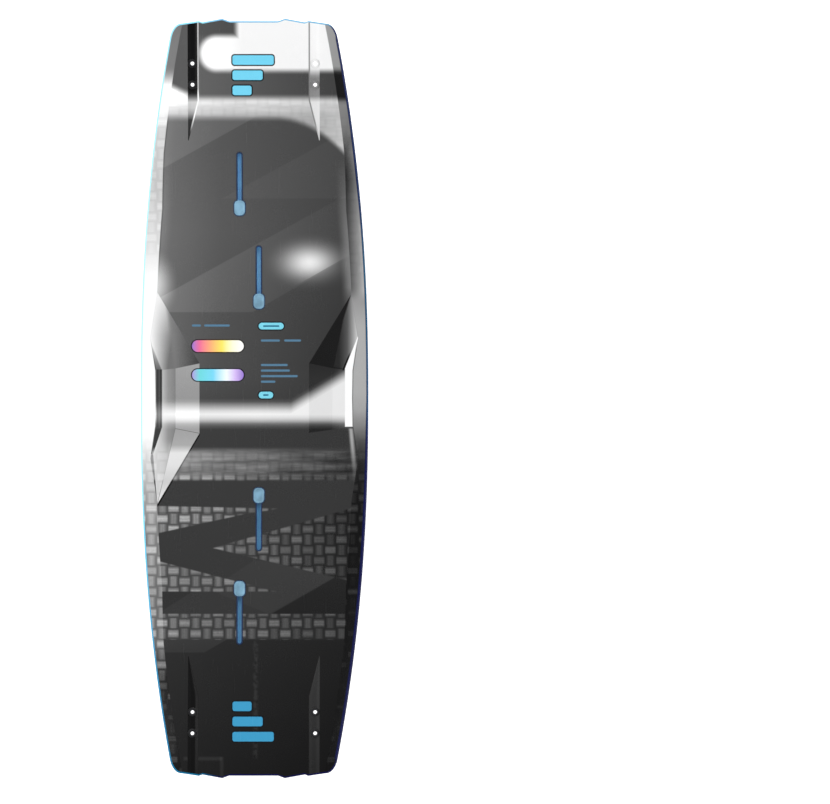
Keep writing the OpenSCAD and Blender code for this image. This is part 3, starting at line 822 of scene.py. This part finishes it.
def deck_colour(s, tone):
    """The print's tones with its coloured marks: plain bars, rules and pills."""
    grey = ((tone.max(4).min(266) / 255).math("POWER", GAMMA) * 0.88 - 0.003).max(0.0015)
    colour = grey.node("CombineColor", (0, grey), (1, grey), (2, grey))

    def ink(mask, paint, rim=None):
        nonlocal colour
        if rim is not None:
            colour = blend(colour, (0.004, 0.004, 0.006), rim)
        colour = blend(colour, paint, mask)

    # Dark lines round the tracks, a painted shadow of the gaps round them, and a dark line along the right edge
    b = abs(s.y)
    for x0, y0 in TRACKS.values():
        port = s.bar(x0 - PORT_W / 2, x0 + PORT_W / 2, y0 - PORT_L / 2, y0 + PORT_L / 2, PORT_R, 0.6, b)
        slot = s.bar(x0 - 6, x0 + 6, y0, y0 + SLOT_LENGTH + 0.6, 6, 0.5, b)
        ink(port.max(slot), (0.003, 0.008, 0.022))
    reach = s.y.curve((-200, 5.6), (-60, 4.6), (0, 3.6), (300, 3.6), (400, 4.6), (600, 4.2))
    border = (s.x - side_line(b) + reach).step(-0.7, 0.7) * b.step(652, 640)
    ink(border, (0.001, 0.003, 0.05))

    for end, paint in ((1, CYAN), (-1, DEEP_CYAN)):
        for k, length in enumerate((74, 54, 34)):
            x0, y0 = -38, end * (606 - 27 * k)
            bar = s.bar(x0, x0 + length, y0 - 8.5, y0 + 8.5, 4)
            ink(bar, paint, s.bar(x0 - 2.2, x0 + length + 2.2, y0 - 10.7, y0 + 10.7, 6))
    warm = s.x.ramp(
        (-112, rgb(150, 120, 200)), (-98, rgb(232, 110, 150)), (-78, rgb(250, 170, 120)), (-58, rgb(252, 226, 100)),
        (-38, rgb(255, 250, 215)), (-18, rgb(252, 252, 252))
    )
    cool = s.x.ramp(
        (-112, rgb(170, 150, 215)), (-98, rgb(110, 210, 215)), (-74, rgb(120, 210, 238)), (-50, rgb(235, 246, 252)),
        (-34, rgb(205, 180, 235)), (-18, rgb(140, 110, 200))
    )
    for y0, paint in ((94, warm), (42, cool)):
        pill = s.bar(-112, -19, y0 - 10.5, y0 + 10.5, 10.5)
        ink(pill, paint, s.bar(-114, -17, y0 - 12.3, y0 + 12.3, 12.3))
    for x0, x1, y0 in ((8, 53, 130), (8, 34, 6)):
        pill = s.bar(x0, x1, y0 - 6, y0 + 6, 6)
        ink(pill, rgb(120, 205, 225), s.bar(x0 - 2, x1 + 2, y0 - 8, y0 + 8, 8))
        ink(s.bar(x0 + 8, x1 - 8, y0 - 1.3, y0 + 1.3, 1.3), rgb(30, 90, 120))
    rules = [(-112, -96, 131), (-90, -44, 131), (12, 46, 104), (54, 84, 104)]
    rules += [(12, 60, 60), (12, 64, 50), (12, 78, 40), (12, 38, 30)]
    for x0, x1, y0 in rules:
        ink(s.bar(x0, x1, y0 - 1.9, y0 + 1.9, 1.9), rgb(84, 120, 146))
    return colour


def gloss(s, wear):
    """Fine relief of a clear gloss sheet, and its roughness with faint scuffs."""
    s.bump(s.noise(9), 0.35, 0.05)
    s.bump(s.noise(0.9), 0.2, 0.02)
    scuff = s.noise(30, 4, (4, 0.35, 1), 0.7).step(0.62, 0.8) * wear
    return s.noise(60, 3) * 0.08 + s.noise(1.3) * 0.05 + 0.2 + scuff * 0.25


def deck_material():
    s = Surface("deck_print", Coat_Weight=0.25, Coat_Roughness=0.06, IOR=1.45, Specular_IOR_Level=0.3)
    tone, cloth, groove = deck_tone(s)
    roughness = gloss(s, 0.6)
    s.bump(cloth * (1 - groove), 0.25, 0.04)
    return s.finished(deck_colour(s, tone), roughness)


# ---- The base's print ----
HALFTONE = 3.2
BASE_STRIPES = [
    ((203, -146), (-207, 85)),
    ((183, -415), (-203, -197)),
    ((220, -371), (-220, -371)),
]


def base_material():
    s = Surface("base_print", Coat_Weight=0.3, Coat_Roughness=0.08, IOR=1.45)
    x, y = s.x, s.y
    tone = y.curve((-680, 206), (-300, 226), (-60, 240), (680, 244)) + x * 0.02 + (s.noise(3) - 0.5) * 5
    for p, q in BASE_STRIPES:
        tone = tone.over(8, abs(s.left_of(p, q)).step(2.9, 2.1))
    tone = tone.over(8, s.bar(-220, -108, 25.6, 30.4, 0, 0.5))
    cells = (x / HALFTONE, y / HALFTONE)
    across, along = (abs(cell - cell.math("FLOOR") - 0.5) for cell in cells)
    dots = (across + along) * 20
    for y0, y1 in ((-398, -170), (-150, -122), (150, 178), (198, 272)):
        tone = tone.over(52 + dots, s.bar(-13, 13, y0, y1, 13, 1.6))
    grey = (tone.max(4).min(252) / 255).math("POWER", GAMMA) * 0.94
    colour = grey.node("CombineColor", (0, grey), (1, grey), (2, grey))
    rainbow = y.ramp(
        (-60, rgb(196, 160, 226)), (-30, rgb(226, 110, 150)), (10, rgb(252, 238, 110)), (60, rgb(98, 212, 226)),
        (110, rgb(74, 96, 214))
    )
    colour = blend(colour, rainbow, s.bar(-14, 14, -60, 112, 14, 3))
    for end, paint in ((1, rgb(92, 180, 214)), (-1, rgb(54, 136, 168))):
        for k, length in enumerate((84, 60, 36)):
            y0 = end * (480 - 26 * k)
            colour = blend(colour, paint, s.bar(-42, -42 + length, y0 - 8, y0 + 8, 8))
    return s.finished(colour, gloss(s, 1))


# ---- Plain materials ----
MOTTLE = 0.24


def moulded(s, roughness, grain):
    """Fine relief of moulded plastic, and its roughness with scuffed patches."""
    s.bump(s.noise(grain), 0.4, 0.03)
    return s.noise(5, 3) * 0.14 + roughness


def plastic(name, colour, roughness, grain=1.2):
    """Moulded plastic of one colour with a slight drift, and gently uneven."""
    s = Surface(name)
    dark = tuple(c * (1 - MOTTLE) for c in colour)
    light = tuple(min(1, c * (1 + MOTTLE) + 0.004) for c in colour)
    finish = moulded(s, roughness, grain)
    s.bump(s.noise(14, 1), 0.3, 0.08)
    return s.finished(blend(dark, light, s.noise(22, 3).step(0.3, 0.7)), finish)


def track_material():
    """Blue track plastic: a dark rim level with the deck, painted shade round the opening, and a bright channel below
    it, painted light against the shade in the slot, deeper blue in the tail.
    """
    s = Surface("track_blue", Coat_Weight=0.1, Coat_Roughness=0.2)
    b = abs(s.y)
    rise = (b - ROCKER_START).max(0) / (HALF_L - ROCKER_START)
    top = DECK_HEIGHT - (b / HALF_L).math("POWER", 3) * DECK_TAPER + rise * rise * ROCKER_HEIGHT
    drift = s.noise(22, 3).step(0.3, 0.7)
    nose = blend((0.34, 0.7, 1), (0.4, 0.78, 1), drift)
    tail = blend((0.22, 0.55, 0.8), (0.26, 0.61, 0.86), drift)
    # The channel's bright blue is painted light against the slot's shade, and the rim's dark blue is painted shade
    channel = blend(tail, nose, s.y.step(-10, 10))
    rim = blend((0.004, 0.022, 0.075), (0.008, 0.034, 0.105), drift)
    finish = moulded(s, 0.36, 0.8)
    s.bump(s.noise(14, 1), 0.3, 0.08)
    return s.finished(blend(channel, rim, (top - s.z).step(2.4, 1.3)), finish)


def bush_material():
    """Moulded bushings: black, but pale in the white part of the nose."""
    s = Surface("bush_plastic")
    drift = s.noise(6, 3).step(0.3, 0.7)
    black = blend((0.003, 0.003, 0.004), (0.007, 0.007, 0.009), drift)
    pale = s.y.ramp((576, (0.18, 0.18, 0.18)), (592, (0.8, 0.8, 0.8)))
    pale = blend(pale, (0.5, 0.5, 0.5), drift * 0.12)
    return s.finished(blend(black, pale, s.x.step(-10, 10) * s.y.step(-10, 10)), moulded(s, 0.34, 0.6))


def rail_material():
    """Translucent blue rail strip, paler on the side that faces left, as painted light, and darker on the right, as
    painted shade.
    """
    s = Surface("rail_blue", Coat_Weight=0.06, Coat_Roughness=0.12, Specular_IOR_Level=0.14, Subsurface_Weight=0.1,
                Subsurface_Scale=0.002)
    left = s.y.ramp(
        (-670, rgb(6, 112, 152)), (-560, rgb(22, 120, 164)), (-400, rgb(76, 156, 198)), (-220, rgb(120, 204, 234)),
        (-60, rgb(176, 228, 240)), (400, rgb(168, 228, 240)), (600, rgb(150, 216, 234)), (670, rgb(140, 216, 240))
    )
    right = s.y.ramp(
        (-670, rgb(0, 12, 70)), (-480, rgb(0, 6, 66)), (-80, rgb(0, 12, 78)), (-20, rgb(6, 64, 104)),
        (240, rgb(12, 76, 106)), (330, rgb(0, 44, 86)), (664, rgb(0, 24, 76)), (671, rgb(120, 176, 210))
    )
    s.bump(s.noise(2.5, 3, (1, 0.12, 1)), 0.4, 0.05)
    return s.finished(blend(left, right, s.x.step(-110, -60)), s.noise(4, 3, (1, 0.2, 1)) * 0.16 + 0.34)


def steel_material():
    """Turned and tumbled stainless steel."""
    s = Surface("stainless_steel", Metallic=1)
    s.bump(s.noise(0.5), 0.3, 0.02)
    tone = blend((0.44, 0.44, 0.45), (0.66, 0.66, 0.67), s.noise(1.8, 4, (1, 0.3, 1)))
    return s.finished(tone, s.noise(0.8, 3) * 0.18 + 0.2)


def laminate_material():
    """Glass and carbon cloth in epoxy: a fine twill."""
    s = Surface("laminate_cloth", Coat_Weight=0.4, Coat_Roughness=0.12)
    u, v = s.x / 2, s.y / 2
    column, row = u.math("FLOOR"), v.math("FLOOR")
    turn = ((column + row) / 4).math("FRACT").step(0.4, 0.6)
    fibres = s.noise(0.35, 2, (1, 0.15, 1)).over(s.noise(0.35, 2, (0.15, 1, 1)), turn)
    s.bump(fibres + turn * 0.6, 0.5, 0.08)
    colour = blend((0.012, 0.013, 0.015), (0.07, 0.075, 0.08), fibres * 0.6 + turn * 0.25)
    return s.finished(colour, fibres * 0.2 + 0.3)


def wood_material():
    """Pale core wood with its grain along the board."""
    s = Surface("core_wood")
    warp = s.noise(160, 2, (1, 0.15, 1)) * 9
    rings = ((s.x + s.z * 1.5) / 7 + warp).math("SINE") * 0.5 + 0.5
    fibre = s.noise(1.1, 4, (1, 0.02, 1), 0.65)
    pale = blend((0.52, 0.34, 0.17), (0.68, 0.49, 0.28), rings * 0.5 + fibre * 0.5)
    s.bump(fibre, 0.5, 0.08)
    return s.finished(blend(pale, (0.34, 0.2, 0.09), fibre.step(0.62, 0.74) * 0.5), fibre * 0.25 + 0.45)


# ---- Pieces ----
def ride(piece, body, slot, *nodes):
    """Sets a finished piece on its body, in place of its CAD nodes."""
    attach(piece, body)
    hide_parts(*nodes)


def refit(node, body, slot, width, material):
    """Replaces a CAD node by a copy with its flat faces joined and its sharp edges rounded."""
    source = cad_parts[node].data
    bm = bmesh.new()
    corners = [bm.verts.new(v.co) for v in source.vertices]
    for polygon in source.polygons:
        try:
            bm.faces.new([corners[k] for k in polygon.vertices])
        except ValueError:  # the same triangle twice
            pass
    bmesh.ops.remove_doubles(bm, verts=bm.verts, dist=MERGE)
    bmesh.ops.dissolve_limit(bm, angle_limit=FLAT, verts=bm.verts, edges=bm.edges)
    bmesh.ops.recalc_face_normals(bm, faces=bm.faces)
    sharp = [e for e in bm.edges if len(e.link_faces) == 2 and e.calc_face_angle() > BEVELLED]
    bmesh.ops.bevel(bm, geom=sharp, offset=width * MM, segments=3, profile=0.5, affect="EDGES", clamp_overlap=True)
    mesh = bpy.data.meshes.new(node)
    bm.to_mesh(mesh)
    bm.free()
    ride(add_object(node, mesh, material), body, slot, node)


NECK_GAP = 0.1
DECK_HOLES = 16.2, 16.2  # fin holes' diameters in the outer and the inner skin
BASE_HOLES = 7.0, 10.2
RAIL_ROUND = 0.34  # share of a rail's height rounded above, and again below


def sheet_pair(outer, inner, material, laminate):
    """The two skins of one face, each given as (piece, slot); the slot is not used."""
    deck = outer[0] == "top_sheet"
    lines, height, way = (deck_lines, deck_z, -1) if deck else (base_lines, base_z, 1)
    a, b, z = half_grid(lines, height)
    necks = NECK_GAP if deck else 0
    holes = DECK_HOLES if deck else BASE_HOLES
    depths = (0, SHEET_T, SHEET_T + LAMINATE_T)
    for k, ((name, slot), finish) in enumerate(((outer, material), (inner, laminate))):
        near, far = (whole_grid(a, b, z + way * depths[k + d]) for d in (0, 1))
        upper, lower = (near, far) if deck else (far, near)
        piece = slab(name, upper, lower, finish)
        cut(piece, necks, holes[k])
        ride(piece, "board", slot, name)


def rail_ring(inner, outer):
    """Section of a rail strip between its inner and outer points, rounded over and under."""
    ring = []
    ix, iy = inner
    ox, oy = outer
    tall = float(deck_z(abs(ox), abs(oy)) - base_z(abs(ox), abs(oy)))
    for turn, surface, way in ((range(0, 91, 15), deck_z, -1), (range(90, -1, -15), base_z, 1)):
        for t in turn:
            out = math.sin(math.radians(t))
            x, y = ix + (ox - ix) * out, iy + (oy - iy) * out
            drop = RAIL_ROUND * tall * (1 - math.cos(math.radians(t)))
            z = float(surface(np.array(abs(x)), np.array(abs(y)))) + way * drop
            ring.append((x * MM, y * MM, z * MM))
    return ring


def rails(material):
    rows = row_list()
    inner_w, inner_place = row_place(rows, RAIL_WIDTH)
    outer_w, outer_place = row_place(rows, 0)
    inner = np.stack([inner_w, inner_place(inner_w)], 1)
    outer = np.stack([outer_w, outer_place(outer_w)], 1)
    for name, side in (("right_rail", 1), ("left_rail", -1)):
        rings = [rail_ring(p * (side, -1), q * (side, -1)) for p, q in zip(inner[:0:-1], outer[:0:-1])]
        rings += [rail_ring(p * (side, 1), q * (side, 1)) for p, q in zip(inner, outer)]
        piece = loft(name, rings if side > 0 else rings[::-1], material)
        ride(piece, "board", "rail_abs", name)
    kinks = [side * x for side in (-1, 1) for x, _ in TIP_EDGE]
    across = np.unique(np.concatenate([np.linspace(-CORNER_X, CORNER_X, 90), kinks]))
    for name, end in (("nose_rail", 1), ("tail_rail", -1)):
        edge = tip_y(abs(across))
        rings = [rail_ring((x, end * (y - RAIL_WIDTH)), (x, end * y)) for x, y in zip(across, edge)]
        piece = loft(name, rings if end < 0 else rings[::-1], material)
        ride(piece, "board", "rail_abs", name)


PLUG_RINGS = [  # width, length, corner radius and height of each ring, from the stem's end to the cap's dished top
    (13.5, 17.9, 2.5, -2.9), (14.1, 18.5, 2.8, -2.6), (14.1, 18.5, 2.8, -1.15), (18.8, 26.8, 7.4, -1.15),
    (19.2, 27.2, 7.6, -0.95), (19.2, 27.2, 7.6, -0.3), (18.9, 26.9, 7.5, -0.1), (18.3, 26.3, 7.2, 0.03),
    (17.2, 25.2, 6.8, 0.05), (14.2, 22.2, 6.0, -0.02), (13.4, 21.4, 5.8, -0.22), (12.6, 20.6, 5.6, -0.3),
    (6.0, 14.0, 2.6, -0.26), (2.0, 8.0, 0.9, -0.25),
]
BUSH_PROFILE = [  # radius and height
    (3.25, -6.8), (3.25, -0.9), (3.45, -0.55), (3.95, -0.14), (4.3, -0.03), (5.4, 0.0), (7.3, -0.02), (7.8, -0.18),
    (8.0, -0.5), (8.0, -1.3), (7.8, -1.5), (5.0, -1.5), (5.0, -6.5), (4.8, -6.8),
]


def fittings(materials):
    """Tracks, nuts and plugs of the bindings, and the fin positions' blocks and bushings."""
    for end_name, end in ENDS.items():
        for where, (x, port_y) in TRACKS.items():
            name = f"{end_name}_{where}"
            matrix = track_frame(x, port_y, end)
            refit(f"track_{name}", "board", "track_plastic", 0.35, materials["track"])
            refit(f"nut_{name}", f"nut_{name}", "stainless_steel", 0.3, materials["steel"])
            rings = [place(matrix, rounded_loop(w, l, r), z) for w, l, r, z in PLUG_RINGS]
            plug = loft(f"plug_{name}", rings if end > 0 else [r[::-1] for r in rings], materials["plug"])
            ride(plug, f"plug_{name}", "plug_plastic", f"plug_{name}")
        for side_name, side in SIDES.items():
            name = f"{end_name}_{side_name}"
            refit(f"fin_block_{name}", "board", "insert_plastic", 0.4, materials["block"])
            matrix = fin_frame(side, end)
            for letter, k in (("a", -1), ("b", 1)):
                rings = [
                    [matrix @ Vector((r * c * MM, (r * s + k * FIN_SPACING / 2) * MM, z * MM)) for c, s in circle(1)]
                    for r, z in BUSH_PROFILE
                ]
                rings = rings if end < 0 else [r[::-1] for r in rings]
                bush = loft(f"fin_bush_{name}_{letter}", rings, materials["bush"], close=True)
                ride(bush, "board", "bush_plastic", f"fin_bush_{name}_{letter}")


def paint_cores(material):
    for name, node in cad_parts.items():
        if name.startswith("core_"):
            node.data.materials.clear()
            node.data.materials.append(material)


# ---- Stage: a pale floor, soft lights and the camera ----
VIEW_WIDTH = 1.4945
CAMERA_X, CAMERA_Y = 0.289, -0.0065
LENS, SENSOR = 200, 36
FLOOR = 30
WHITE = 1.0, 1.0, 1.0


def softbox(name, place_at, size_x, size_y, watts):
    """A rectangular light that faces the board's middle."""
    light = bpy.data.lights.new(name, "AREA")
    light.shape = "RECTANGLE"
    light.size, light.size_y = size_x, size_y
    light.energy = watts
    made = bpy.data.objects.new(name, light)
    made.location = place_at
    made.rotation_euler = (-Vector(place_at)).to_track_quat("-Z", "Y").to_euler()
    bpy.context.scene.collection.objects.link(made)


def floor_material():
    """A glowing white table, so that it stays white round the board and in the fin holes."""
    s = Surface("floor", Specular_IOR_Level=0.2, Emission_Color=(1, 1, 1, 1), Emission_Strength=0.7)
    colour = blend((0.8, 0.8, 0.805), (0.84, 0.84, 0.84), s.noise(400))
    return s.finished(colour, s.noise(30) * 0.1 + 0.75)


def stage():
    corners = [(-FLOOR, -FLOOR, 0), (FLOOR, -FLOOR, 0), (FLOOR, FLOOR, 0), (-FLOOR, FLOOR, 0)]
    floor = add_mesh("floor", corners, [(0, 1, 2, 3)], floor_material())
    softbox("key", (-5.5, 1.5, 5.2), 4.6, 3.8, 360)
    softbox("fill", (5.4, 0.8, 4.6), 3.4, 3.4, 175)
    softbox("back", (0.5, 6.5, 4.2), 4.0, 2.4, 105)
    world = bpy.data.worlds.new("studio")
    world.use_nodes = True
    tree = world.node_tree
    direction = Value(tree.nodes.new("ShaderNodeTexCoord").outputs["Generated"])
    split = direction.node("SeparateXYZ", (0, direction)).socket.node
    up = Value(split.outputs[2])
    sky = up.ramp((-0.1, WHITE), (0.25, WHITE), (0.8, (0.3, 0.3, 0.305)), (1, (0.16, 0.16, 0.165)))
    tree.links.new(sky.socket, tree.nodes["Background"].inputs["Color"])
    bpy.context.scene.world = world
    bpy.context.scene.view_settings.view_transform = "Standard"
    camera_data = bpy.data.cameras.new("camera")
    camera_data.lens = LENS
    camera_data.sensor_width = SENSOR
    camera_data.clip_end = 100
    camera = bpy.data.objects.new("camera", camera_data)
    camera.location = (CAMERA_X, CAMERA_Y, VIEW_WIDTH * LENS / SENSOR)
    bpy.context.scene.collection.objects.link(camera)
    bpy.context.scene.camera = camera


def main():
    materials = {
        "track": track_material(),
        "plug": plastic("plug_grey_blue", rgb(112, 152, 176), 0.38, grain=0.8),
        "bush": bush_material(),
        "block": plastic("insert_white", rgb(226, 222, 210), 0.43),
        "steel": steel_material(),
    }
    laminate = laminate_material()
    sheet_pair(("top_sheet", "deck_gloss"), ("deck_laminate", "laminate"), deck_material(), laminate)
    sheet_pair(("base_sheet", "base_gloss"), ("base_laminate", "laminate"), base_material(), laminate)
    rails(rail_material())
    fittings(materials)
    paint_cores(wood_material())
    stage()


main()
